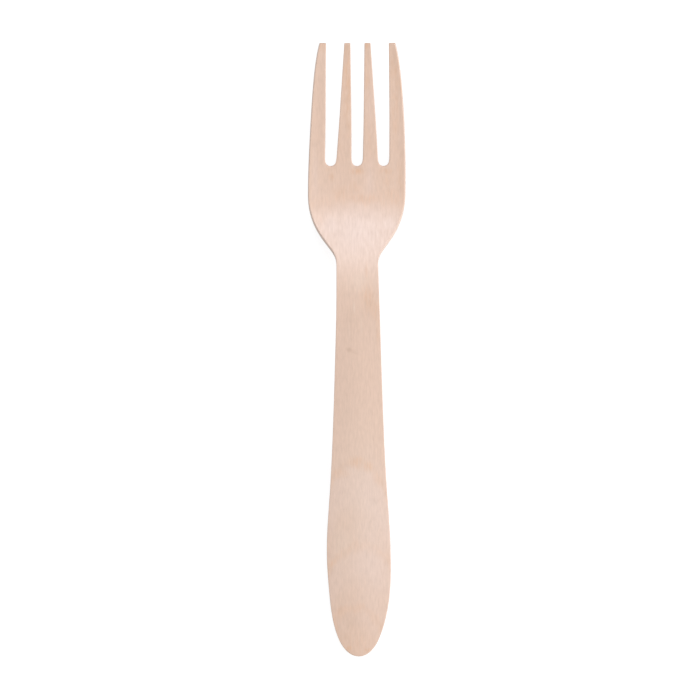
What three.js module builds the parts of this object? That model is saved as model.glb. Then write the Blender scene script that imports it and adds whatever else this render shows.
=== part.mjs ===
// A wooden table fork in one piece: birch veneer cut to a flat blank, then pressed into shape.
// Sizes are in millimetres. The fork lies on z = 0 with its tines towards +Y, and is symmetrical about x = 0.
// "Along" is measured from the end of the tail towards the tips, and "across" from the centre line.
// One half is laid out flat and pressed, and the other half is its mirror image.
import * as THREE from "three";
import { mergeVertices } from "three/addons/utils/BufferGeometryUtils.js";

// The sheet of wood
const overallLength = 165;
const sheetThickness = 1.8;
const edgeRadius = 0.25;

// The outline of the handle
const tailWidth = 16.9;
const tailLength = 28; // from the end of the tail to its widest place
const tailBluntness = 4.2; // how far the end of the tail stays square across, each side
const tailFullness = 22.4; // how far the sides of the tail stay straight, back from the widest place
const neckWidth = 11.08;
const neckTaper = 0.016; // how fast each edge still closes in where it meets the neck
const taperStart = 0.15; // how much of the handle keeps the tail's width, as a share of it
const taperEnd = 0.85; // how much of the handle takes the neck's line, as a share of it

// The outline of the head
const headLength = 57.8; // from the neck's corner to the tips
const headWidth = 26.4;
const shoulderRun = 10.4; // along the fork, from the neck's corner to the shoulder's corner
const neckReach = 2.4; // each side of the neck's corner that its rounding takes up
const shoulderReach = 7.1;
const cheekLength = 10.4; // from the shoulder's corner to where the head starts to narrow
const cheekFullness = 7.2; // how far the head's sides stay straight from there
const tipSpan = 20.5; // across all four tips
const sideDraw = 0.95; // how far in the head's sides have come where they turn to the tips
const tipTurn = 5.4; // and how far before the tips that is
const tipCorner = 0.4; // radius of the corners of each tip

// The tines and the slots between them
const slotDepth = 33; // from the tips to the bottom of the slots
const slotEndRadius = 1.52;
const innerTineWidth = 4.11; // between the bottoms of the slots
const outerTipWidth = 1.8;
const innerTipWidth = 1.65;
const innerTipCentre = 2.7;

// The pressed shape, as the line that the underside follows
const neckHeight = 8.5; // where the handle's line and the slope's line would meet
const crestBack = 5.6; // that place lies this far back from the neck's corner
const crestReach = 5.6; // each side of it that the bend takes up
const bowlAhead = 1.9; // the slope ends this far past the shoulder's corner
const bowlReach = 2.6;
const soleLength = 3; // the flat that the bowl rests on
const soleWidth = 7.2;
const heelReach = 6;
const tineRise = THREE.MathUtils.degToRad(10);
const handleCrownRadius = 74; // the handle is slightly humped from side to side
const crownFade = 27; // the hump dies away over this length before the crest
const bowlDishRadius = 130; // and the bowl slightly hollow

// How finely the shape is divided
const tailSteps = 9;
const handleStep = 6;
const bendStep = 1.25;
const bowlStep = 2;
const slotEndSteps = 4;
const tineStep = 3.2;
const cornerSteps = 2;
const laneColumns = 2;
const edgeSteps = 2;

// Places along the fork, and of the outer slots across it
const neckAt = overallLength - headLength;
const shoulderAt = neckAt + shoulderRun;
const widestAt = shoulderAt + cheekLength;
const slotRoot = overallLength - slotDepth;
const outerSlotCentre = innerTineWidth + 2 * slotEndRadius;
const crestAt = neckAt - crestBack;
const bowlAt = shoulderAt + bowlAhead;
const soleStart = bowlAt + bowlReach;
const soleEnd = soleStart + soleLength;
const heelAt = soleEnd + heelReach;

const tailward = new THREE.Vector2(0, -1);
const tipward = new THREE.Vector2(0, 1);

// Leads a path to a corner and round it, towards the next point. The rounding takes up reach on each side.
function roundCorner(path, corner, next, reach) {
  const arriving = corner.clone().sub(path.currentPoint).normalize();
  const leaving = next.clone().sub(corner).normalize();
  const start = corner.clone().addScaledVector(arriving, -reach);
  const end = corner.clone().addScaledVector(leaving, reach);
  path.lineTo(start.x, start.y);
  path.quadraticCurveTo(corner.x, corner.y, end.x, end.y);
}

// Where a path stands at one place along the fork, and how fast it moves off there.
function stationOn(path, along) {
  const curve = path.curves.find((piece) => along <= piece.getPoint(1).y) ?? path.curves.at(-1);
  let low = 0;
  let high = 1;
  for (let pass = 0; pass < 40; pass++) {
    const middle = (low + high) / 2;
    if (curve.getPoint(middle).y < along) low = middle;
    else high = middle;
  }
  const direction = curve.getTangent(high);
  return { offset: curve.getPoint(high).x, slope: direction.x / direction.y };
}

// The right-hand edge of the blank, from the end of the tail to the tips. Its points are (across, along).
function makeOutline() {
  const tailSide = tailWidth / 2;
  const headSide = headWidth / 2;
  const neckCorner = new THREE.Vector2(neckWidth / 2, neckAt);
  const shoulderCorner = new THREE.Vector2(headSide, shoulderAt);
  const handleEnd = neckCorner.clone().add(new THREE.Vector2(neckTaper, -1).setLength(neckReach));
  const handleRun = handleEnd.y - tailLength;
  const lower = handleEnd.y - taperEnd * handleRun;
  const outline = new THREE.Path();
  outline.moveTo(0, 0);
  outline.bezierCurveTo(tailBluntness, 0, tailSide, tailLength - tailFullness, tailSide, tailLength);
  outline.bezierCurveTo(
    tailSide, tailLength + taperStart * handleRun,
    handleEnd.x + neckTaper * taperEnd * handleRun, lower,
    handleEnd.x, handleEnd.y,
  );
  roundCorner(outline, neckCorner, shoulderCorner, neckReach);
  roundCorner(outline, shoulderCorner, new THREE.Vector2(headSide, widestAt), shoulderReach);
  outline.lineTo(headSide, widestAt);
  outline.bezierCurveTo(
    headSide, widestAt + cheekFullness,
    headSide - sideDraw, overallLength - tipTurn,
    tipSpan / 2, overallLength,
  );
  return outline;
}

// The line of the underside, seen from the side. Its points are (height, along).
function makePressLine() {
  const crest = new THREE.Vector2(neckHeight, crestAt);
  const bowl = new THREE.Vector2(0, bowlAt);
  const heel = new THREE.Vector2(0, heelAt);
  const tips = new THREE.Vector2(Math.tan(tineRise) * (overallLength - heelAt), overallLength);
  const line = new THREE.Path();
  line.moveTo(0, 0);
  roundCorner(line, crest, bowl, crestReach);
  roundCorner(line, bowl, heel, bowlReach);
  roundCorner(line, heel, tips, heelReach);
  line.lineTo(tips.x, tips.y);
  return line;
}

const outline = makeOutline();
const pressLine = makePressLine();

// The rows that divide the fork along its length

function rowsAfter(start, end, step) {
  const count = Math.max(1, Math.round((end - start) / step));
  return Array.from({ length: count }, (_, i) => start + ((i + 1) * (end - start)) / count);
}

// Rows on a quarter round, from its base at angle 0 to its top at a right angle, the first one left out.
function quarterRows(steps, place) {
  return Array.from({ length: steps }, (_, i) => place(((i + 1) * Math.PI) / 2 / steps));
}

const slotRows = [
  slotRoot,
  ...quarterRows(slotEndSteps, (angle) => slotRoot + slotEndRadius * (1 - Math.cos(angle))),
  ...rowsAfter(slotRoot + slotEndRadius, overallLength - tipCorner, tineStep),
  ...quarterRows(cornerSteps, (angle) => overallLength - tipCorner * (1 - Math.sin(angle))),
];
const bodyRows = [
  ...outline.curves[0].getPoints(tailSteps).map((point) => point.y),
  ...rowsAfter(tailLength, crestAt - crestReach, handleStep),
  ...rowsAfter(crestAt - crestReach, soleStart, bendStep),
  soleEnd,
  ...rowsAfter(soleEnd, slotRoot, bowlStep).slice(0, -1),
];

// The edges of the blank, with a point on every row that they cross

// How far the corner of a tip has drawn in.
function cornerDraw(along) {
  const past = Math.max(0, along - (overallLength - tipCorner));
  return tipCorner - Math.sqrt(Math.max(0, tipCorner ** 2 - past ** 2));
}

// One side of a slot: a quarter of its round end, then a straight run to the tip. side is 1 or -1.
function slotEdge(centre, side, tipAcross) {
  const straightFrom = slotRoot + slotEndRadius;
  return slotRows.map((along) => {
    const short = Math.max(0, straightFrom - along);
    const round = centre + side * Math.sqrt(Math.max(0, slotEndRadius ** 2 - short ** 2));
    const run = Math.max(0, along - straightFrom) / (overallLength - straightFrom);
    const across = THREE.MathUtils.lerp(round, tipAcross, run);
    return new THREE.Vector2(across + side * cornerDraw(along), along);
  });
}

const sideEdge = [...bodyRows, ...slotRows].map(
  (along) => new THREE.Vector2(stationOn(outline, along).offset - cornerDraw(along), along),
);
const edges = {
  side: { points: sideEdge, hand: 1, start: tailward },
  middleSlot: { points: slotEdge(0, 1, innerTipCentre - innerTipWidth / 2), hand: -1, start: tipward },
  outerSlotInner: {
    points: slotEdge(outerSlotCentre, -1, innerTipCentre + innerTipWidth / 2),
    hand: 1,
    start: tipward,
  },
  outerSlotOuter: {
    points: slotEdge(outerSlotCentre, 1, tipSpan / 2 - outerTipWidth),
    hand: -1,
    start: tipward,
  },
};

// An edge moved in from the cut by inset. hand is 1 where the wood lies on the left of the edge.
function insetEdge({ points, hand, start }, inset) {
  return points.map((point, row) => {
    const before = points[row - 1];
    const after = points[row + 1];
    let outward = tipward;
    if (!before) outward = start;
    else if (after) {
      outward = new THREE.Vector2(after.y - before.y, before.x - after.x).multiplyScalar(hand).normalize();
    }
    return point.clone().addScaledVector(outward, -inset);
  });
}

// The half blank as two lanes, each a list of rows of points. Below the slots the lanes share a seam.
function layOut(inset) {
  const side = insetEdge(edges.side, inset);
  const middle = insetEdge(edges.middleSlot, inset);
  const seamLeft = insetEdge(edges.outerSlotInner, inset);
  const seamRight = insetEdge(edges.outerSlotOuter, inset);
  const seamShare = outerSlotCentre / side[bodyRows.length].x;
  const laneRow = (left, right) =>
    Array.from({ length: laneColumns + 1 }, (_, i) => left.clone().lerp(right, i / laneColumns));
  return {
    inner: side.map((edge, row) => {
      const tine = row - bodyRows.length;
      if (tine >= 0) return laneRow(middle[tine], seamLeft[tine]);
      return laneRow(new THREE.Vector2(0, edge.y), new THREE.Vector2(seamShare * edge.x, edge.y));
    }),
    outer: side.map((edge, row) => {
      const tine = row - bodyRows.length;
      if (tine >= 0) return laneRow(seamRight[tine], edge);
      return laneRow(new THREE.Vector2(seamShare * edge.x, edge.y), edge);
    }),
  };
}

// The cut edge of the half blank, anticlockwise from the end of the tail to the middle slot's bottom.
function rimOf({ inner, outer }) {
  const tineRows = (lane) => lane.slice(bodyRows.length);
  const tipRow = (lane) => lane.at(-1).slice(1, -1).reverse();
  return [
    ...outer.map((row) => row.at(-1)),
    ...tipRow(outer),
    ...tineRows(outer).map((row) => row[0]).reverse(),
    ...tineRows(inner).slice(1).map((row) => row.at(-1)),
    ...tipRow(inner),
    ...tineRows(inner).map((row) => row[0]).reverse(),
  ];
}

// A point of the blank after pressing. lift is its place in the thickness, square to the sheet.
function press(point, lift) {
  const { offset, slope } = stationOn(pressLine, point.y);
  const crown = (1 - THREE.MathUtils.smoothstep(point.y, crestAt - crownFade, crestAt)) / handleCrownRadius;
  const dish = THREE.MathUtils.smoothstep(point.y, bowlAt, slotRoot) / bowlDishRadius;
  const pastSole = Math.max(0, point.x - soleWidth / 2);
  const height = offset + (dish * pastSole ** 2 - crown * point.x ** 2) / 2;
  const normal = new THREE.Vector3(crown * point.x - dish * pastSole, -slope, 1).normalize();
  return new THREE.Vector3(point.x, point.y, height).addScaledVector(normal, lift);
}

function makeForkGeometry() {
  const corners = [];
  const addTriangle = (a, b, c) => {
    if (a.equals(b) || b.equals(c) || c.equals(a)) return;
    for (const p of [a, b, c]) corners.push(p.x, p.y, p.z);
    for (const p of [c, b, a]) corners.push(-p.x, p.y, p.z);
  };
  // A strip of triangles from one row of points to the next. Seen from outside, with the rows running
  // away from the viewer, next lies to the left of list.
  const addBand = (list, next) => {
    for (let i = 1; i < list.length; i++) {
      addTriangle(list[i - 1], list[i], next[i]);
      addTriangle(list[i - 1], next[i], next[i - 1]);
    }
  };
  const addFace = (lane, lift, turned) => {
    const rows = lane.map((row) => row.map((point) => press(point, lift)));
    for (let i = 1; i < rows.length; i++) {
      if (turned) addBand(rows[i], rows[i - 1]);
      else addBand(rows[i - 1], rows[i]);
    }
  };

  const face = layOut(edgeRadius);
  for (const lane of [face.inner, face.outer]) {
    addFace(lane, sheetThickness, false);
    addFace(lane, 0, true);
  }

  // Rings round the cut edge: the lower rounding from the underside out, then the upper one back in.
  const rounding = Array.from({ length: edgeSteps + 1 }, (_, i) => (i * Math.PI) / 2 / edgeSteps);
  const rings = [
    ...rounding.map((angle) => ({ angle, lift: edgeRadius * (1 - Math.cos(angle)) })),
    ...rounding.toReversed().map((angle) => ({
      angle,
      lift: sheetThickness - edgeRadius * (1 - Math.cos(angle)),
    })),
  ].map(({ angle, lift }) => {
    const inset = edgeRadius * (1 - Math.sin(angle));
    return rimOf(layOut(inset)).map((point) => press(point, lift));
  });
  for (let i = 1; i < rings.length; i++) addBand(rings[i - 1], rings[i]);

  const soup = new THREE.BufferGeometry();
  soup.setAttribute("position", new THREE.Float32BufferAttribute(corners, 3));
  const geometry = mergeVertices(soup, 1e-3);
  geometry.computeVertexNormals();
  return geometry;
}

const birch = new THREE.MeshStandardMaterial({ color: 0xe1c6b4, roughness: 0.6, metalness: 0 });

const fork = new THREE.Mesh(makeForkGeometry(), birch);
fork.name = "fork";

// The origin lies on the table, under the middle of the fork's length.
fork.geometry.computeBoundingBox();
fork.position.y = -fork.geometry.boundingBox.getCenter(new THREE.Vector3()).y;

const part = new THREE.Group();
part.add(fork);

export default part;
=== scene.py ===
# A pressed fork of birch veneer lying on a white table, seen from straight above.
# The fork is modelled in millimetres and brought to metres at the end. "Along" runs from the end of
# its tail to its tips, and "across" from its centre line outwards.
import math

import bmesh
import bpy
import numpy as np
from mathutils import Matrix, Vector
from mathutils.geometry import interpolate_bezier


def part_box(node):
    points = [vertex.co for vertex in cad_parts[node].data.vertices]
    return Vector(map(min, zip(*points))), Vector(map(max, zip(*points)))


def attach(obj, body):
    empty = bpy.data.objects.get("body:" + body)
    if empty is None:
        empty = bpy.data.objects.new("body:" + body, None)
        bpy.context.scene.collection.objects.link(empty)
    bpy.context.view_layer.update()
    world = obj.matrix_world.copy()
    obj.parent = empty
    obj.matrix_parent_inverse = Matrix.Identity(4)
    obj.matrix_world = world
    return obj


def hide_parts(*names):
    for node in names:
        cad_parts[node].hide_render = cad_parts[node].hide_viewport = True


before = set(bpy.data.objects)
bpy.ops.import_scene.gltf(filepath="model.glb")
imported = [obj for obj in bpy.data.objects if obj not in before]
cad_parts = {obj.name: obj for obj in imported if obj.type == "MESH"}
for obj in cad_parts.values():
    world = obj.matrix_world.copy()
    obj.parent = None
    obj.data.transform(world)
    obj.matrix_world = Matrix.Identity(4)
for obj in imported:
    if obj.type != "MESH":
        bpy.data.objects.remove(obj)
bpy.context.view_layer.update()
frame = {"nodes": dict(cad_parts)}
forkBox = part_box("fork")
mm = 0.001
print("frame loaded:", ", ".join(frame["nodes"]))

# The blank that is cut from the sheet, as one half of its outline
blank = {
    "length": 165.0,
    "sheet": 1.8,
    "tailHalf": 8.45,
    "tailAt": 27.5,  # where the handle is widest
    "tailBlunt": 3.3,
    "tailFull": 23.2,
    "neckHalf": 5.55,
    "neckAt": 107.2,
    "neckReach": 1.8,  # what the rounding of the neck's corner takes up on each side
    "neckTaper": 0.016,
    "taperStart": 0.18,
    "taperEnd": 0.88,
    "headHalf": 13.25,
    "shoulderAt": 117.6,
    "shoulderReach": 7.1,
    "widestAt": 128.0,
    "cheekFull": 7.2,
    "tipHalf": 10.25,
    "sideDraw": 0.95,
    "tipTurn": 5.4,
}

# The slots between the tines
slots = {
    "root": 132.35,
    "radius": 1.52,
    "outerCentre": 7.15,
    "middleTip": 1.875,  # across, where the middle slot's edge meets the tips
    "outerTips": (3.525, 8.45),
    "ringFuller": 1.108,  # smoothing draws a ring of eight corners in by this much
    "sideFuller": 1.03,
}

# The line that the press gives the underside, seen from the side
pressing = {
    "crestHeight": 8.67,
    "crestAt": 99.6,
    "crestReach": 8.3,
    "bowlAt": 121.0,
    "bowlReach": 6.6,
    "heelAt": 131.0,
    "heelReach": 4.2,
    "tineRise": math.radians(10),
    "humpRadius": 62.0,  # the handle is slightly humped from side to side
    "humpFade": 27.0,
    "rimLift": 0.22,  # and the rim of the head is turned up a little
    "rimReach": 5.0,
    "rimCurve": 4,  # the higher, the more of the lift is at the very rim
    "rimStart": 107.0,
}

# The veneer isn't quite straight: where it leans, how far across, and how far off that dies away
leans = [
    {"along": 18.0, "move": 0.26, "reach": 12.0},
    {"along": 117.0, "move": -0.32, "reach": 30.0},
]

# The cage that is smoothed into the sheet
cage = {
    "curveSteps": 40,  # how finely each curve of the outline and of the press line is followed
    "tailRows": ((18.0, 1.1), (13.6, 2.1), (9.8, 3.0), (6.6, 3.7), (4.2, 4.2)),  # where, and how far bowed
    "tailStart": 23.0,
    "handleStep": 5.7,
    "bendStep": 1.3,
    "bowlStep": 1.8,
    "tineStep": 2.5,
    "tineColumns": 5,
    "tipRow": 0.7,
    "edgeRound": 0.07,
    "edgeAngle": math.radians(60),  # a sharper fold than this is rounded
    "smoothing": 2,
    "shadeAngle": math.radians(40),
    "cornerSlack": 0.02,  # how far off its place a picked corner may be, and then a picked row
    "rowSlack": 0.1,
    "leanSlack": 0.5,
    "weld": 0.005,  # corners nearer to each other than this become one
}


def knot(point, before=None, after=None):
    # a point of a curved line with its two handles
    return {"at": Vector(point), "before": Vector(before or point), "after": Vector(after or point)}


def roundCorner(corner, last, following, reach):
    # a curve in place of a corner, from its reach before it to its reach after it
    corner = Vector(corner)
    start = corner + (Vector(last) - corner).normalized() * reach
    end = corner + (Vector(following) - corner).normalized() * reach
    pull = 2 / 3  # handles this far towards the corner make the curve a parabola
    return [knot(start, after=start.lerp(corner, pull)), knot(end, before=end.lerp(corner, pull))]


def sampleLine(knots):
    # places along the fork, and how far the line stands off there
    points = []
    for one, two in zip(knots, knots[1:]):
        points += interpolate_bezier(one["at"], one["after"], two["before"], two["at"], cage["curveSteps"])
    return [point.y for point in points], [point.x for point in points]


def drawOutline(b):
    neck = (b["neckHalf"], b["neckAt"])
    shoulder = (b["headHalf"], b["shoulderAt"])
    widest = (b["headHalf"], b["widestAt"])
    handleEnd = Vector(neck) + Vector((b["neckTaper"], -1)).normalized() * b["neckReach"]
    run = handleEnd.y - b["tailAt"]
    neckRound = roundCorner(neck, handleEnd, shoulder, b["neckReach"])
    neckRound[0]["before"] = handleEnd + Vector((b["neckTaper"], -1)) * b["taperEnd"] * run
    return sampleLine([
        knot((0, 0), after=(b["tailBlunt"], 0)),
        knot(
            (b["tailHalf"], b["tailAt"]),
            before=(b["tailHalf"], b["tailAt"] - b["tailFull"]),
            after=(b["tailHalf"], b["tailAt"] + b["taperStart"] * run),
        ),
        *neckRound,
        *roundCorner(shoulder, neck, widest, b["shoulderReach"]),
        knot(widest, after=(b["headHalf"], b["widestAt"] + b["cheekFull"])),
        knot((b["tipHalf"], b["length"]), before=(b["headHalf"] - b["sideDraw"], b["length"] - b["tipTurn"])),
    ])


def drawPressLine(p, length):
    crest, bowl, heel = (p["crestHeight"], p["crestAt"]), (0, p["bowlAt"]), (0, p["heelAt"])
    tips = (math.tan(p["tineRise"]) * (length - p["heelAt"]), length)
    return sampleLine([
        knot((0, 0)),
        *roundCorner(crest, (0, 0), bowl, p["crestReach"]),
        *roundCorner(bowl, crest, heel, p["bowlReach"]),
        *roundCorner(heel, bowl, tips, p["heelReach"]),
        knot(tips),
    ])


outlineAlong, outlineAcross = drawOutline(blank)
pressAlong, pressHeight = drawPressLine(pressing, blank["length"])
tineBase = slots["root"] + slots["radius"]
slotRing = slots["radius"] * slots["ringFuller"]
slotSlant = slotRing * math.cos(math.pi / 4)  # the ring's corners between its foot and its sides


def halfWidth(along):
    return float(np.interp(along, outlineAlong, outlineAcross))


def heightAt(along):
    return float(np.interp(along, pressAlong, pressHeight))


def slotSide(centre, side, tip, along):
    # one edge of a slot above its round end; side is 1 on its right and -1 on its left
    share = (along - tineBase) / (blank["length"] - tineBase)
    start = centre + side * slots["radius"]
    return start + share * (tip - start)


def evenSteps(start, end, step):
    # places about a step apart, from the one after start up to end
    return np.linspace(start, end, max(1, round((end - start) / step)) + 1)[1:].tolist()


def blendIn(value, start, end):
    # 0 before start, 1 after end, and an even curve between them
    share = np.clip((value - start) / (end - start), 0, 1)
    return share * share * (3 - 2 * share)


def selectPoints(sheet, wanted):
    # picks the corners that wanted says yes to, with the edges between them
    bpy.ops.mesh.select_all(action="DESELECT")
    corners = bmesh.from_edit_mesh(sheet.data)
    for corner in corners.verts:
        corner.select = wanted(corner.co)
    corners.select_flush(True)
    bmesh.update_edit_mesh(sheet.data)


def drawOut(start, end, deepen=1):
    # draws the picked row out. A row is its place along and its two ends across.
    move = (end[1] - start[1], end[0] - start[0], heightAt(end[0]) - heightAt(start[0]))
    bpy.ops.mesh.extrude_region_move(TRANSFORM_OT_translate={"value": move})
    widen = (end[2] - end[1]) / (start[2] - start[1])
    bpy.ops.transform.resize(
        value=(widen, deepen, deepen), center_override=(end[1], end[0], heightAt(end[0]))
    )


def drawBack(sheet, across, along, back):
    # pulls one corner of a row back towards the tail
    slack = cage["cornerSlack"]
    selectPoints(sheet, lambda place: abs(place.x - across) < slack and abs(place.y - along) < slack)
    bpy.ops.transform.translate(value=(0, -back, heightAt(along - back) - heightAt(along)))


def lean(sheet, along, move, reach):
    # pushes the row nearest to a place sideways, and its neighbours less and less
    row = min((corner.co.y for corner in sheet.data.vertices), key=lambda place: abs(place - along))
    bpy.ops.object.mode_set(mode="EDIT")
    selectPoints(sheet, lambda place: abs(place.y - row) < cage["leanSlack"])
    bpy.ops.transform.translate(
        value=(move, 0, 0), use_proportional_edit=True, proportional_edit_falloff="SMOOTH",
        proportional_size=reach,
    )
    bpy.ops.object.mode_set(mode="OBJECT")


def columnPlaces():
    # the lengthwise lines of the cage where the tines begin, from the centre line outwards,
    # and the two edges of each tine there
    side = slots["radius"] * slots["sideFuller"]
    centre = slots["outerCentre"]
    inner = np.linspace(side, centre - side, cage["tineColumns"]).tolist()
    outer = np.linspace(centre + side, halfWidth(tineBase), cage["tineColumns"]).tolist()
    columns = [0, slotSlant, *inner, centre - slotSlant, centre, centre + slotSlant, *outer]
    return columns, (inner[0], inner[-1]), (outer[0], outer[-1])


def layFirstStrip(columns):
    # the widest stretch of the handle, cut into columns in the proportions of the head
    widest, start, slack = blank["tailAt"], cage["tailStart"], cage["rowSlack"]
    bpy.ops.object.select_all(action="DESELECT")
    bpy.ops.mesh.primitive_plane_add(size=1, location=(0.5, 0.5, 0))
    sheet = bpy.context.object
    sheet.name = sheet.data.name = "wooden_fork"
    bpy.ops.object.transform_apply(location=True, rotation=False, scale=False)
    bpy.ops.object.mode_set(mode="EDIT")
    for column in columns[1:-1]:
        bpy.ops.mesh.select_all(action="SELECT")
        bpy.ops.mesh.bisect(plane_co=(column / columns[-1], 0, 0), plane_no=(1, 0, 0))
    bpy.ops.mesh.select_all(action="SELECT")
    bpy.ops.transform.resize(value=(halfWidth(widest), widest - start, 1), center_override=(0, 0, 0))
    bpy.ops.transform.translate(value=(0, start, heightAt(start)))
    selectPoints(sheet, lambda place: place.y > widest - slack)
    bpy.ops.transform.translate(value=(0, 0, heightAt(widest) - heightAt(start)))
    selectPoints(sheet, lambda place: place.y < start + slack)
    bpy.ops.transform.resize(value=(halfWidth(start) / halfWidth(widest), 1, 1), center_override=(0, 0, 0))
    return sheet


def drawOutTail(sheet, columns):
    # the rows bow more and more towards the round end, so that the last one lies on the outline
    last = cage["tailStart"]
    endAt = cage["tailRows"][-1][0]
    steps, slack = cage["curveSteps"], cage["rowSlack"]
    lastBow = 0
    for along, bow in cage["tailRows"]:
        if lastBow:
            drawOut((last, 0, halfWidth(last)), (along, 0, halfWidth(along)), deepen=bow / lastBow)
        else:
            # the first row is still straight, and is bowed column by column
            selectPoints(sheet, lambda place: place.y < last + slack)
            drawOut((last, 0, halfWidth(last)), (along, 0, halfWidth(along)))
            for column in columns[:-1]:
                share = column / columns[-1]
                onOutline = float(np.interp(
                    share * halfWidth(endAt), outlineAcross[:steps], outlineAlong[:steps],
                ))
                drawBack(sheet, share * halfWidth(along), along, bow * (1 - onOutline / endAt))
            selectPoints(sheet, lambda place: place.y < along + slack)
        last, lastBow = along, bow


def drawOutBody(sheet):
    # from the handle's widest place over the crest and down into the bowl
    crestStart = pressing["crestAt"] - pressing["crestReach"]
    bowlEnd = pressing["bowlAt"] + pressing["bowlReach"]
    rows = [
        blank["tailAt"],
        *evenSteps(blank["tailAt"], crestStart, cage["handleStep"]),
        *evenSteps(crestStart, bowlEnd, cage["bendStep"]),
        *evenSteps(bowlEnd, slots["root"] - slots["radius"], cage["bowlStep"]),
        tineBase,
    ]
    selectPoints(sheet, lambda place: place.y > blank["tailAt"] - cage["rowSlack"])
    for start, end in zip(rows, rows[1:]):
        drawOut((start, 0, halfWidth(start)), (end, 0, halfWidth(end)))
    # the corners under each slot are pulled back onto its round end
    centre = slots["outerCentre"]
    for across in (0, centre):
        drawBack(sheet, across, tineBase, slotRing)
    for across in (slotSlant, centre - slotSlant, centre + slotSlant):
        drawBack(sheet, across, tineBase, slotSlant)


def drawOutTine(sheet, left, right, base):
    # left and right give the tine's edges at a place along; base is where the row that it grows from ends
    slack = cage["cornerSlack"]
    selectPoints(
        sheet,
        lambda place: place.y > tineBase - slack and base[0] - slack < place.x < base[1] + slack,
    )
    last = (tineBase, *base)
    lastFull = blank["length"] - cage["tipRow"]
    for along in [*evenSteps(tineBase, lastFull, cage["tineStep"]), blank["length"]]:
        row = (along, left(along), right(along))
        drawOut(last, row)
        last = row


def finishWith(piece, kind, **settings):
    modifier = piece.modifiers.new(kind.capitalize(), kind)
    for name, value in settings.items():
        setattr(modifier, name, value)
    bpy.ops.object.modifier_apply(modifier=modifier.name)


def weigh(piece, name, weightAt):
    # a vertex group that holds how strongly a displacement takes hold of each point
    group = piece.vertex_groups.new(name=name)
    for point in piece.data.vertices:
        group.add([point.index], float(weightAt(point.co)), "REPLACE")
    return group.name


def buildFork():
    columns, innerBase, outerBase = columnPlaces()
    wood = layFirstStrip(columns)
    drawOutTail(wood, columns)
    drawOutBody(wood)
    centre = slots["outerCentre"]
    drawOutTine(
        wood,
        left=lambda along: slotSide(0, 1, slots["middleTip"], along),
        right=lambda along: slotSide(centre, -1, slots["outerTips"][0], along),
        base=innerBase,
    )
    drawOutTine(
        wood,
        left=lambda along: slotSide(centre, 1, slots["outerTips"][1], along),
        right=halfWidth,
        base=outerBase,
    )
    bpy.ops.object.mode_set(mode="OBJECT")
    print("half cage drawn out:", len(wood.data.polygons), "faces")

    finishWith(wood, "MIRROR", use_axis=(True, False, False), merge_threshold=cage["weld"])
    bpy.ops.object.mode_set(mode="EDIT")
    bpy.ops.mesh.select_all(action="SELECT")
    bpy.ops.mesh.remove_doubles(threshold=cage["weld"])
    bpy.ops.mesh.normals_make_consistent(inside=False)
    if sum(face.normal.z for face in bmesh.from_edit_mesh(wood.data).faces) < 0:
        bpy.ops.mesh.flip_normals()
    bpy.ops.object.mode_set(mode="OBJECT")

    # the hump of the handle and the turned up rim of the head, as the press leaves them
    p = pressing
    widest = blank["tailHalf"]
    hump = weigh(wood, "hump", lambda place: (
        min(1, (place.x / widest) ** 2) * (1 - blendIn(place.y, p["crestAt"] - p["humpFade"], p["crestAt"]))
    ))
    humpDrop = widest ** 2 / 2 / p["humpRadius"]  # how far an arc of that radius falls at the widest place
    finishWith(wood, "DISPLACE", direction="Z", mid_level=0, vertex_group=hump, strength=-humpDrop)
    rim = weigh(wood, "rim", lambda place: (
        max(0, 1 - (halfWidth(place.y) - abs(place.x)) / p["rimReach"]) ** p["rimCurve"]
        * blendIn(place.y, p["rimStart"], p["bowlAt"])
    ))
    finishWith(wood, "DISPLACE", direction="Z", mid_level=0, vertex_group=rim, strength=p["rimLift"])
    wood.vertex_groups.clear()
    for place in leans:
        lean(wood, **place)

    # the thickness of the sheet and its rounded cut edge, then the smoothing
    finishWith(wood, "SOLIDIFY", thickness=blank["sheet"], offset=1, use_even_offset=True)
    finishWith(
        wood, "BEVEL", width=cage["edgeRound"], segments=1, limit_method="ANGLE",
        angle_limit=cage["edgeAngle"], use_clamp_overlap=False,
    )
    finishWith(wood, "SUBSURF", levels=cage["smoothing"], render_levels=cage["smoothing"])

    # to metres, with the middle of its length where the frame has it
    ends = [point.co.y for point in wood.data.vertices]
    middle = (min(ends) + max(ends)) / 2 * mm
    bpy.ops.object.mode_set(mode="EDIT")
    bpy.ops.mesh.select_all(action="SELECT")
    bpy.ops.transform.resize(value=(mm, mm, mm), center_override=(0, 0, 0))
    bpy.ops.transform.translate(value=(0, (forkBox[0][1] + forkBox[1][1]) / 2 - middle, 0))
    bpy.ops.object.mode_set(mode="OBJECT")
    bpy.ops.object.shade_smooth_by_angle(angle=cage["shadeAngle"])
    print("fork finished:", len(wood.data.polygons), "faces")
    return wood


wood = buildFork()
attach(wood, "root")
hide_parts("fork")


def addNode(nodes, kind, inputs=(), **settings):
    # adds a node; inputs pairs a socket with a value or with another node's output
    node = nodes.new(kind)
    for name, value in settings.items():
        setattr(node, name, value)
    for socket, value in dict(inputs).items():
        if isinstance(value, bpy.types.NodeSocket):
            node.id_data.links.new(value, node.inputs[socket])
        else:
            node.inputs[socket].default_value = value
    return node


def linearColour(code):
    # an sRGB hex colour as the linear values that Blender's sockets take
    parts = [int(code[i:i + 2], 16) / 255 for i in (1, 3, 5)]
    return (*(part / 12.92 if part <= 0.04045 else ((part + 0.055) / 1.055) ** 2.4 for part in parts), 1.0)


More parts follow.
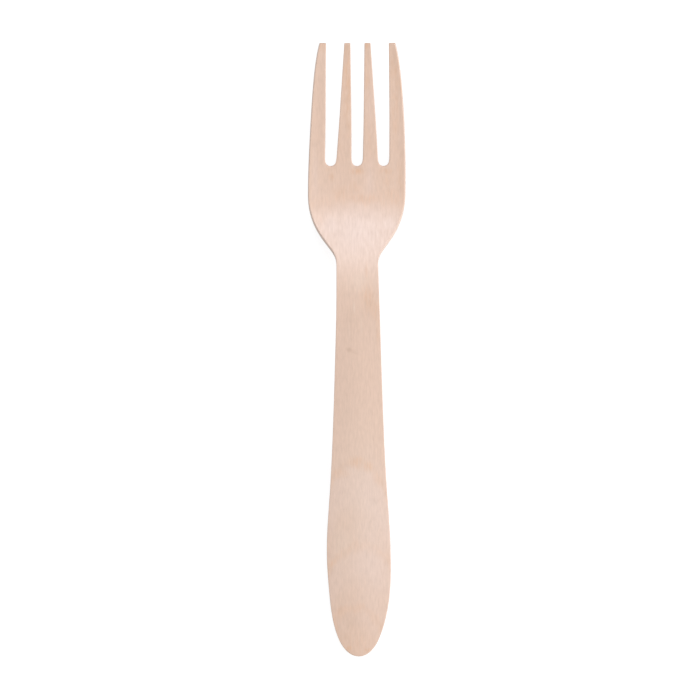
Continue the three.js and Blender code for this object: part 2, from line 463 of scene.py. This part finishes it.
# Birch veneer as disposable cutlery has it: peeled from the log, die cut, hot pressed and left bare.
# The eye gets a pale pinkish tan with fine straight fibre from end to end, a satin face where the press
# closed it, faint warm arches where the knife ran across the growth rings with a cooler tone behind
# them, a few brown stains, and a cut edge that is darker and dull, most of all across the fibre.
# Painted light and shade lie among the tints too: a paler, cooler sheen on the slope into the bowl, a lighter
# crest, and darker feet to the slots.
birch = {
    "face": "#e6c7b3",
    "warm": "#e1a46a",
    "brown": "#96724c",
    "pale": "#fff2e2",
    "cool": "#ecd4c9",
    "cutAlong": "#e6cfc1",
    "cutAcross": "#c4906b",
    "shine": 0.8,  # the specular level, above plain wood's because the hot press closes the face
    "roughness": 0.4,
    "roughnessChange": 0.05,  # up where the grain is open, and down where it is closed
    "openGrain": (0.3, 0.7),  # what the fibre's noise is in open and in closed grain
    "cutRoughness": 0.75,
    # the fibre is about 0.03 mm wide and a pore about 0.1 mm, which is too fine to show, so bundles of
    # fibre and wider pores are drawn; every size is in millimetres, and the shifts keep patterns apart
    "fibre": {"across": 0.56, "along": 2.4, "shift": 0.0, "detail": 2.0, "contrast": 0.18},
    "bundle": {"across": 1.3, "along": 14.0, "shift": 31.0, "detail": 2.0, "contrast": 0.035},
    "board": {"across": 7.0, "along": 60.0, "shift": 57.0, "detail": 2.0, "contrast": 0.05},
    "pore": {"across": 0.14, "along": 2.4, "shift": 83.0, "detail": 0.0},
    "poreRange": (0.66, 0.8),
    "poreStrength": 0.06,
    "poreDepth": 3.0,
    "sawn": {"across": 0.4, "along": 5.0, "through": 0.2, "detail": 2.0, "contrast": 0.16},
    "noiseRoughness": 0.55,
    "grainDepth": 0.014,
    # how far growth lines and stains wander across and along, and how much the fibre breaks them up
    "wander": {"across": 2.2, "along": 6.0, "shift": 13.0, "detail": 2.0},
    "ringWander": (1.2, 3.6, 0),
    "markWander": (0.5, 1.4, 0),
    "breaks": {"across": 0.5, "along": 3.0, "shift": 5.0, "detail": 2.0},
    "breakRange": (0.35, 0.65),
    "breakStrength": (0.4, 1.25),
    # the underside and the cut edge are told by how far up a face looks, and end grain by how far endways
    "underFacing": -0.3,
    "underShift": (71, 309, 0),
    "cutFacing": (0.35, 0.6),
    "endFacing": (0.6, 0.95),
}

# Where the knife crossed a ring: the top of the arch, how much it droops, how far the warm line
# spreads on its two sides, and how long the cooler tone behind it is
growthLines = [
    {
        "peak": (-0.8, 53.2), "droop": 0.13, "above": 2.0, "below": 3.0, "strength": 0.06,
        "behind": 17.0, "cool": 0.25,
    },
    {
        "peak": (0.9, 30.4), "droop": 0.085, "above": 2.0, "below": 3.2, "strength": 0.1,
        "behind": 13.0, "cool": 0.2,
    },
    {
        "peak": (-0.8, 13.7), "droop": 0.11, "above": 1.8, "below": 3.4, "strength": 0.095,
        "behind": 6.0, "cool": 0.05,
    },
    {
        "peak": (2.0, 124.0), "droop": 0.012, "above": 2.4, "below": 3.4, "strength": 0.06,
        "behind": 1.0, "cool": 0.0,
    },
]

# Soft tints, each an oval: where it lies across and along, how far it reaches each way, its turn in
# degrees where it has one, and its strength. Most are stains and tone of the wood; a few are painted
# sheen, highlight and shade, as marked below.
warmStainsAndShadeMarks = [
    {"at": (-0.4, 52.5), "reach": (2.8, 2.5), "strength": 0.22},
    {"at": (2.5, 51.4), "reach": (2.2, 2.2), "strength": 0.22},
    {"at": (-4.9, 49.3), "reach": (3.6, 1.9), "strength": 0.2},
    {"at": (5.2, 47.6), "reach": (1.6, 3.4), "turn": 24, "strength": 0.1},
    {"at": (-7.0, 25.2), "reach": (2.4, 1.2), "turn": 25, "strength": 0.15},
    {"at": (-5.0, 11.6), "reach": (2.6, 2.6), "turn": -20, "strength": 0.09},
    {"at": (-0.8, 13.1), "reach": (1.7, 1.5), "strength": 0.1},
    {"at": (-2.7, 2.2), "reach": (1.7, 1.4), "strength": 0.28},
    {"at": (2.4, 1.8), "reach": (1.7, 1.4), "strength": 0.28},
    {"at": (-1.2, 2.0), "reach": (9.0, 9.0), "strength": 0.11},
    {"at": (-5.9, 7.6), "reach": (1.2, 3.0), "turn": 20, "strength": 0.12},
    {"at": (6.0, 7.6), "reach": (0.9, 2.8), "turn": -24, "strength": 0.13},
    {"at": (2.7, 97.0), "reach": (2.9, 6.6), "strength": 0.17},
    {"at": (4.3, 94.0), "reach": (2.2, 5.6), "turn": 12, "strength": 0.17},
    {"at": (5.3, 88.6), "reach": (0.9, 8.0), "strength": 0.14},
    {"at": (2.3, 103.0), "reach": (0.7, 5.0), "strength": 0.14},
    {"at": (1.6, 123.2), "reach": (7.5, 2.2), "turn": -4, "strength": 0.16},
    {"at": (10.2, 122.8), "reach": (3.4, 2.0), "strength": 0.1},
    {"at": (-4.6, 125.0), "reach": (4.2, 4.0), "strength": 0.13},
    {"at": (-1.0, 126.4), "reach": (3.2, 3.6), "strength": 0.12},
    {"at": (11.6, 128.0), "reach": (2.0, 14.0), "strength": 0.13},
    {"at": (8.0, 128.6), "reach": (3.0, 4.0), "strength": 0.1},
    {"at": (-7.0, 129.2), "reach": (1.3, 2.4), "strength": 0.18},
    # the next three, at the feet of the slots, are painted shade
    {"at": (0.0, 130.9), "reach": (3.0, 1.6), "strength": 0.28},
    {"at": (-7.2, 131.6), "reach": (2.6, 1.2), "strength": 0.12},
    {"at": (7.6, 130.9), "reach": (2.8, 1.4), "strength": 0.22},
    {"at": (9.4, 125.2), "reach": (4.5, 2.6), "strength": 0.13},
    {"at": (0.0, 141.0), "reach": (18.0, 26.0), "strength": 0.06},
    {"at": (-10.0, 118.0), "reach": (2.4, 2.4), "strength": 0.08},
    {"at": (-2.7, 154.5), "reach": (2.0, 20.0), "strength": 0.26},
    {"at": (-2.4, 146.0), "reach": (1.6, 14.0), "strength": 0.14},
    {"at": (2.8, 164.6), "reach": (1.5, 2.2), "strength": 0.3},
    {"at": (2.5, 156.0), "reach": (1.8, 12.0), "strength": 0.16},
    {"at": (3.0, 140.0), "reach": (2.2, 14.0), "strength": 0.1},
    {"at": (10.2, 158.0), "reach": (3.0, 12.0), "strength": 0.17},
    {"at": (10.2, 148.0), "reach": (1.8, 18.0), "strength": 0.16},
    {"at": (11.6, 155.0), "reach": (0.8, 9.0), "strength": 0.28},
    {"at": (-9.4, 164.4), "reach": (1.8, 2.6), "strength": 0.2},
]
brownStainsAndShadeMarks = [
    {"at": (-2.3, 82.7), "reach": (1.8, 0.95), "turn": -20, "strength": 0.18},
    {"at": (-1.0, 82.0), "reach": (1.8, 0.6), "turn": -26, "strength": 0.09},
    {"at": (-1.3, 99.1), "reach": (0.6, 1.9), "strength": 0.1},
    {"at": (4.3, 42.1), "reach": (0.5, 1.6), "turn": 24, "strength": 0.09},
    {"at": (5.5, 42.3), "reach": (0.5, 1.6), "turn": -28, "strength": 0.08},
    {"at": (3.0, 36.2), "reach": (0.6, 0.8), "strength": 0.09},
    {"at": (6.1, 34.1), "reach": (0.7, 0.8), "strength": 0.08},
    {"at": (-2.0, 9.4), "reach": (4.0, 3.4), "strength": 0.08},
    {"at": (-3.5, 5.2), "reach": (2.4, 1.8), "strength": 0.08},
    {"at": (2.8, 161.8), "reach": (1.3, 3.4), "strength": 0.1},
    {"at": (0.0, 166.0), "reach": (18.0, 7.0), "strength": 0.09},
    {"at": (9.6, 160.5), "reach": (2.6, 6.5), "strength": 0.06},
    {"at": (2.6, 95.4), "reach": (2.4, 5.0), "strength": 0.045},
    {"at": (-1.5, 91.5), "reach": (6.5, 9.0), "strength": 0.05},
    {"at": (-3.0, 1.4), "reach": (2.4, 2.0), "strength": 0.07},
    {"at": (-10.2, 152.8), "reach": (1.0, 1.0), "strength": 0.07},
    {"at": (-3.0, 163.4), "reach": (2.0, 4.6), "strength": 0.13},
    {"at": (-10.8, 152.0), "reach": (3.2, 22.0), "strength": 0.045},
    # painted shade at the foot of the middle slot
    {"at": (0.0, 132.1), "reach": (1.3, 0.9), "strength": 0.14},
    {"at": (-4.4, 97.6), "reach": (2.0, 4.0), "strength": 0.04},
    {"at": (-5.4, 5.4), "reach": (2.6, 5.6), "turn": 20, "strength": 0.05},
    {"at": (-7.0, 129.6), "reach": (1.0, 1.4), "strength": 0.05},
]
paleToneAndHighlightMarks = [
    {"at": (-1.0, 94.0), "reach": (0.4, 2.4), "strength": 0.2},
    {"at": (0.9, 89.0), "reach": (0.4, 4.0), "strength": 0.1},
    {"at": (-2.4, 88.0), "reach": (0.4, 3.2), "strength": 0.08},
    {"at": (0.0, 42.0), "reach": (12.0, 36.0), "strength": 0.09},
    {"at": (-4.0, 31.0), "reach": (6.5, 10.0), "strength": 0.12},
    # painted highlight over the crest, where the slope turns over into the handle
    {"at": (0.8, 100.6), "reach": (5.6, 4.0), "strength": 0.09},
]
coolToneAndSheenMarks = [
    {"at": (3.2, 128.5), "reach": (2.4, 9.0), "strength": 0.3},
    {"at": (-11.4, 130.0), "reach": (1.6, 12.0), "strength": 0.25},
    {"at": (3.4, 148.0), "reach": (2.0, 12.0), "strength": 0.2},
    {"at": (4.0, 30.0), "reach": (8.0, 34.0), "strength": 0.35},
    # the last three are painted sheen: paler and cooler where the slope down into the bowl faces the top lamp
    {"at": (0.0, 115.0), "reach": (15.0, 12.0), "strength": 0.5},
    {"at": (-7.0, 116.0), "reach": (6.0, 6.0), "strength": 0.48},
    {"at": (7.7, 116.5), "reach": (4.5, 4.5), "strength": 0.42},
]


def woodGrain(nodes, plan, size):
    # noise with features about as wide and as long as the size says
    grid = addNode(nodes, "ShaderNodeMapping", {
        "Vector": plan,
        "Location": (size["shift"], size["shift"], 0),
        "Scale": (1 / size["across"], 1 / size["along"], 1),
    })
    return addNode(nodes, "ShaderNodeTexNoise", {
        "Vector": grid.outputs[0], "Scale": 1.0,
        "Detail": size["detail"], "Roughness": birch["noiseRoughness"],
    }, noise_dimensions="2D")


def markStrength(nodes, plan, marks):
    # how strongly the soft ovals lie over each place
    total = None
    for mark in marks:
        inOval = addNode(nodes, "ShaderNodeMapping", {
            "Vector": plan,
            "Location": (*mark["at"], 0),
            "Rotation": (0, 0, math.radians(mark.get("turn", 0))),
            "Scale": (*mark["reach"], 1),
        }, vector_type="TEXTURE")
        near = addNode(nodes, "ShaderNodeTexGradient", {
            "Vector": inOval.outputs[0],
        }, gradient_type="SPHERICAL")
        fade = addNode(nodes, "ShaderNodeMapRange", {
            "Value": near.outputs["Fac"], "From Min": 0.0, "From Max": 1.0,
            "To Min": 0.0, "To Max": mark["strength"],
        }, interpolation_type="SMOOTHSTEP").outputs[0]
        if total is not None:
            fade = addNode(nodes, "ShaderNodeMath", {0: total, 1: fade}, operation="MAXIMUM").outputs[0]
        total = fade
    return total


def ringStrengths(nodes, plan, ring):
    # how strongly an arched growth line and the cooler tone behind it lie over each place
    fromPeak = addNode(nodes, "ShaderNodeVectorMath", {0: plan, 1: (*ring["peak"], 0)}, operation="SUBTRACT")
    parts = addNode(nodes, "ShaderNodeSeparateXYZ", {0: fromPeak.outputs[0]})
    square = addNode(nodes, "ShaderNodeMath", {
        0: parts.outputs[0], 1: parts.outputs[0],
    }, operation="MULTIPLY")
    beyond = addNode(nodes, "ShaderNodeMath", {
        0: square.outputs[0], 1: ring["droop"], 2: parts.outputs[1],
    }, operation="MULTIPLY_ADD").outputs[0]
    fades = []
    for start, end, first, last in (
        (-ring["below"], 0, 0, ring["strength"]),  # the line comes in from below,
        (0, ring["above"], 1, 0),  # and goes out above
        (-ring["behind"], -ring["behind"] / 2, 0, ring["cool"]),  # the tone behind it comes in further off,
        (-ring["below"], 0, 1, 0),  # and goes out where the line comes in
    ):
        fades.append(addNode(nodes, "ShaderNodeMapRange", {
            "Value": beyond, "From Min": start, "From Max": end, "To Min": first, "To Max": last,
        }, interpolation_type="SMOOTHSTEP").outputs[0])
    line = addNode(nodes, "ShaderNodeMath", {0: fades[0], 1: fades[1]}, operation="MULTIPLY")
    behind = addNode(nodes, "ShaderNodeMath", {0: fades[2], 1: fades[3]}, operation="MULTIPLY")
    return line.outputs[0], behind.outputs[0]


def pressedBirch():
    # a Mix node mixes colours from its inputs 6 and 7 to its output 2, and numbers from 2 and 3 to 0
    b = birch
    material = bpy.data.materials.new("pressed_birch_veneer")
    material.use_nodes = True
    nodes = material.node_tree.nodes
    shader = nodes["Principled BSDF"]
    place = addNode(nodes, "ShaderNodeTexCoord")
    facing = addNode(nodes, "ShaderNodeSeparateXYZ", {0: place.outputs["Normal"]})

    # millimetres across and along, the same through the thickness; the underside gets wood of its own
    flat = addNode(nodes, "ShaderNodeMapping", {
        "Vector": place.outputs["Object"],
        "Location": (0, blank["length"] / 2, 0),
        "Scale": (1 / mm, 1 / mm, 0),
    })
    under = addNode(nodes, "ShaderNodeMath", {
        0: facing.outputs["Z"], 1: b["underFacing"],
    }, operation="LESS_THAN")
    plan = addNode(nodes, "ShaderNodeVectorMath", {
        0: under.outputs[0], 1: b["underShift"], 2: flat.outputs[0],
    }, operation="MULTIPLY_ADD").outputs[0]

    # growth lines and stains wander a little, and the fibre breaks them up
    wander = woodGrain(nodes, plan, b["wander"])
    offset = addNode(nodes, "ShaderNodeVectorMath", {
        0: wander.outputs["Color"], 1: (0.5, 0.5, 0.5),
    }, operation="SUBTRACT")
    ringPlan, markPlan = [addNode(nodes, "ShaderNodeVectorMath", {
        0: offset.outputs[0], 1: reach, 2: plan,
    }, operation="MULTIPLY_ADD").outputs[0] for reach in (b["ringWander"], b["markWander"])]
    breaks = woodGrain(nodes, plan, b["breaks"])
    patchy = addNode(nodes, "ShaderNodeMapRange", {
        "Value": breaks.outputs["Fac"],
        "From Min": b["breakRange"][0], "From Max": b["breakRange"][1],
        "To Min": b["breakStrength"][0], "To Max": b["breakStrength"][1],
    }).outputs[0]

    # the tints over the plain face, in the order in which they are laid on
    tints = []
    for ring in growthLines:
        line, behind = ringStrengths(nodes, ringPlan, ring)
        if ring["cool"]:
            tints.append((b["cool"], behind))
        broken = addNode(nodes, "ShaderNodeMath", {0: line, 1: patchy}, operation="MULTIPLY")
        tints.append((b["warm"], broken.outputs[0]))
    for marks, hexCode in (
        (coolToneAndSheenMarks, b["cool"]), (warmStainsAndShadeMarks, b["warm"]), (brownStainsAndShadeMarks, b["brown"]), (paleToneAndHighlightMarks, b["pale"]),
    ):
        strength = markStrength(nodes, markPlan, marks)
        if marks is warmStainsAndShadeMarks:
            strength = addNode(nodes, "ShaderNodeMath", {
                0: strength, 1: patchy,
            }, operation="MULTIPLY").outputs[0]
        tints.append((hexCode, strength))
    colour = linearColour(b["face"])
    for hexCode, strength in tints:
        colour = addNode(nodes, "ShaderNodeMix", {
            0: strength, 6: colour, 7: linearColour(hexCode),
        }, data_type="RGBA").outputs[2]

    # fibre in three sizes makes it lighter and darker, and the pores are short dark dashes
    light = 1.0
    fibre = None
    for name in ("fibre", "bundle", "board"):
        noise = woodGrain(nodes, plan, b[name]).outputs["Fac"]
        fibre = fibre or noise
        even = addNode(nodes, "ShaderNodeMath", {0: noise, 1: 0.5}, operation="SUBTRACT")
        light = addNode(nodes, "ShaderNodeMath", {
            0: even.outputs[0], 1: b[name]["contrast"], 2: light,
        }, operation="MULTIPLY_ADD").outputs[0]
    colour = addNode(nodes, "ShaderNodeVectorMath", {
        0: colour, "Scale": light,
    }, operation="SCALE").outputs[0]
    pores = addNode(nodes, "ShaderNodeMapRange", {
        "Value": woodGrain(nodes, plan, b["pore"]).outputs["Fac"],
        "From Min": b["poreRange"][0], "From Max": b["poreRange"][1],
        "To Min": 0.0, "To Max": b["poreStrength"],
    }).outputs[0]
    colour = addNode(nodes, "ShaderNodeMix", {
        0: pores, 6: colour, 7: linearColour(b["brown"]),
    }, data_type="RGBA").outputs[2]

    # the cut edge, by which way the surface faces
    upright = addNode(nodes, "ShaderNodeMath", {0: facing.outputs["Z"]}, operation="ABSOLUTE")
    cut = addNode(nodes, "ShaderNodeMapRange", {
        "Value": upright.outputs[0],
        "From Min": b["cutFacing"][0], "From Max": b["cutFacing"][1],
        "To Min": 1.0, "To Max": 0.0,
    }, interpolation_type="SMOOTHSTEP").outputs[0]
    endways = addNode(nodes, "ShaderNodeMath", {0: facing.outputs["Y"]}, operation="ABSOLUTE")
    endGrain = addNode(nodes, "ShaderNodeMapRange", {
        "Value": endways.outputs[0],
        "From Min": b["endFacing"][0], "From Max": b["endFacing"][1],
        "To Min": 0.0, "To Max": 1.0,
    }).outputs[0]
    sawn = b["sawn"]
    grid = addNode(nodes, "ShaderNodeMapping", {
        "Vector": place.outputs["Object"],
        "Scale": (1 / sawn["across"] / mm, 1 / sawn["along"] / mm, 1 / sawn["through"] / mm),
    })
    layers = addNode(nodes, "ShaderNodeTexNoise", {
        "Vector": grid.outputs[0], "Scale": 1.0, "Detail": sawn["detail"],
    }).outputs["Fac"]
    layerLight = addNode(nodes, "ShaderNodeMath", {
        0: layers, 1: sawn["contrast"], 2: 1 - sawn["contrast"] / 2,
    }, operation="MULTIPLY_ADD").outputs[0]
    edge = addNode(nodes, "ShaderNodeMix", {
        0: endGrain, 6: linearColour(b["cutAlong"]), 7: linearColour(b["cutAcross"]),
    }, data_type="RGBA").outputs[2]
    edge = addNode(nodes, "ShaderNodeVectorMath", {
        0: edge, "Scale": layerLight,
    }, operation="SCALE").outputs[0]
    colour = addNode(nodes, "ShaderNodeMix", {0: cut, 6: colour, 7: edge}, data_type="RGBA").outputs[2]

    # the pressed face is satin, a little duller in the open grain, and the cut is dull
    satin = addNode(nodes, "ShaderNodeMapRange", {
        "Value": fibre,
        "From Min": b["openGrain"][0], "From Max": b["openGrain"][1],
        "To Min": b["roughness"] + b["roughnessChange"], "To Max": b["roughness"] - b["roughnessChange"],
    }).outputs[0]
    rough = addNode(nodes, "ShaderNodeMix", {
        0: cut, 2: satin, 3: b["cutRoughness"],
    }, data_type="FLOAT").outputs[0]
    sunk = addNode(nodes, "ShaderNodeMath", {
        0: pores, 1: -b["poreDepth"], 2: fibre,
    }, operation="MULTIPLY_ADD").outputs[0]
    relief = addNode(nodes, "ShaderNodeMix", {0: cut, 2: sunk, 3: layers}, data_type="FLOAT").outputs[0]
    bump = addNode(nodes, "ShaderNodeBump", {
        "Height": relief, "Strength": 1.0, "Distance": b["grainDepth"] * mm,
    }).outputs[0]

    links = material.node_tree.links
    links.new(colour, shader.inputs["Base Color"])
    links.new(rough, shader.inputs["Roughness"])
    links.new(bump, shader.inputs["Normal"])
    shader.inputs["Specular IOR Level"].default_value = b["shine"]
    return material


wood.data.materials.append(pressedBirch())
print("birch veneer laid on")

# The table, the light and the camera, in metres
stage = {
    "tableSize": 6.0,
    "tableGap": 0.01 * mm,  # keeps the table clear of the faces that rest on it
    "tableColour": "#f2f2f2",
    "seenColour": "#8a8a8a",  # with the glow it comes to just over white, so that only shadows show
    "whiteGlow": 0.86,
    "fill": 0.54,
    "roomColour": "#ffffff",
}

# Each lamp is a soft panel: the way to it, how far off it stands, its side, and the share of the
# plain light on the table that it gives.
lamps = {
    "side_panel": {
        "towards": (0.85, -0.2, 0.5), "distance": 1.5, "size": 0.8, "share": 0.28, "colour": "#ffffff",
    },
    "top_panel": {
        "towards": (0.03, 0.74, 0.67), "distance": 1.5, "size": 0.8, "share": 0.235, "colour": "#f1f6ff",
    },
}

camera = {
    "lens": 150.0,
    "viewWidth": 188.1 * mm,
    "lookAt": (-2.19 * mm, 0.17 * mm, 5 * mm),
    "roll": math.radians(-0.14),
    "clip": (0.01, 20.0),
}


def layTable():
    bpy.ops.object.select_all(action="DESELECT")
    bpy.ops.mesh.primitive_plane_add(size=stage["tableSize"], location=(0, 0, -stage["tableGap"]))
    table = bpy.context.object
    table.name = "table"
    material = bpy.data.materials.new("white_table")
    material.use_nodes = True
    nodes = material.node_tree.nodes
    nodes.clear()
    ray = addNode(nodes, "ShaderNodeLightPath")
    paint = addNode(nodes, "ShaderNodeBsdfDiffuse", {"Color": linearColour(stage["tableColour"])})
    seenPaint = addNode(nodes, "ShaderNodeBsdfDiffuse", {"Color": linearColour(stage["seenColour"])})
    glow = addNode(nodes, "ShaderNodeEmission", {"Strength": stage["whiteGlow"]})
    both = addNode(nodes, "ShaderNodeAddShader", {0: seenPaint.outputs[0], 1: glow.outputs[0]})
    seen = addNode(nodes, "ShaderNodeMixShader", {
        0: ray.outputs["Is Camera Ray"], 1: paint.outputs[0], 2: both.outputs[0],
    })
    addNode(nodes, "ShaderNodeOutputMaterial", {"Surface": seen.outputs[0]})
    table.data.materials.append(material)


def lightRoom():
    world = bpy.data.worlds.new("room")
    bpy.context.scene.world = world
    world.use_nodes = True
    nodes = world.node_tree.nodes
    nodes.clear()
    ray = addNode(nodes, "ShaderNodeLightPath")
    roomColour = linearColour(stage["roomColour"])
    fill = addNode(nodes, "ShaderNodeBackground", {"Color": roomColour, "Strength": stage["fill"]})
    white = addNode(nodes, "ShaderNodeBackground", {"Color": roomColour, "Strength": 1.0})
    seen = addNode(nodes, "ShaderNodeMixShader", {
        0: ray.outputs["Is Camera Ray"], 1: fill.outputs[0], 2: white.outputs[0],
    })
    addNode(nodes, "ShaderNodeOutputWorld", {"Surface": seen.outputs[0]})
    for name, lamp in lamps.items():
        towards = Vector(lamp["towards"]).normalized()
        data = bpy.data.lights.new(name, "AREA")
        data.shape = "SQUARE"
        data.size = lamp["size"]
        data.color = linearColour(lamp["colour"])[:3]
        # the watts at which a matt white table gives back that share of full white
        data.energy = lamp["share"] * math.pi ** 2 * lamp["distance"] ** 2 / towards.z
        panel = bpy.data.objects.new(name, data)
        bpy.context.collection.objects.link(panel)
        panel.location = towards * lamp["distance"]
        panel.rotation_euler = (-towards).to_track_quat("-Z", "Y").to_euler()
        panel.visible_camera = False


def placeCamera():
    data = bpy.data.cameras.new("camera")
    data.lens = camera["lens"]
    data.clip_start, data.clip_end = camera["clip"]
    seenFrom = bpy.data.objects.new("camera", data)
    bpy.context.collection.objects.link(seenFrom)
    distance = camera["viewWidth"] * data.lens / data.sensor_width
    seenFrom.location = Vector(camera["lookAt"]) + Vector((0, 0, distance))
    seenFrom.rotation_euler = (0, 0, camera["roll"])
    bpy.context.scene.camera = seenFrom


layTable()
lightRoom()
placeCamera()
bpy.context.scene.view_settings.view_transform = "Standard"
print("table, lamps and camera set")
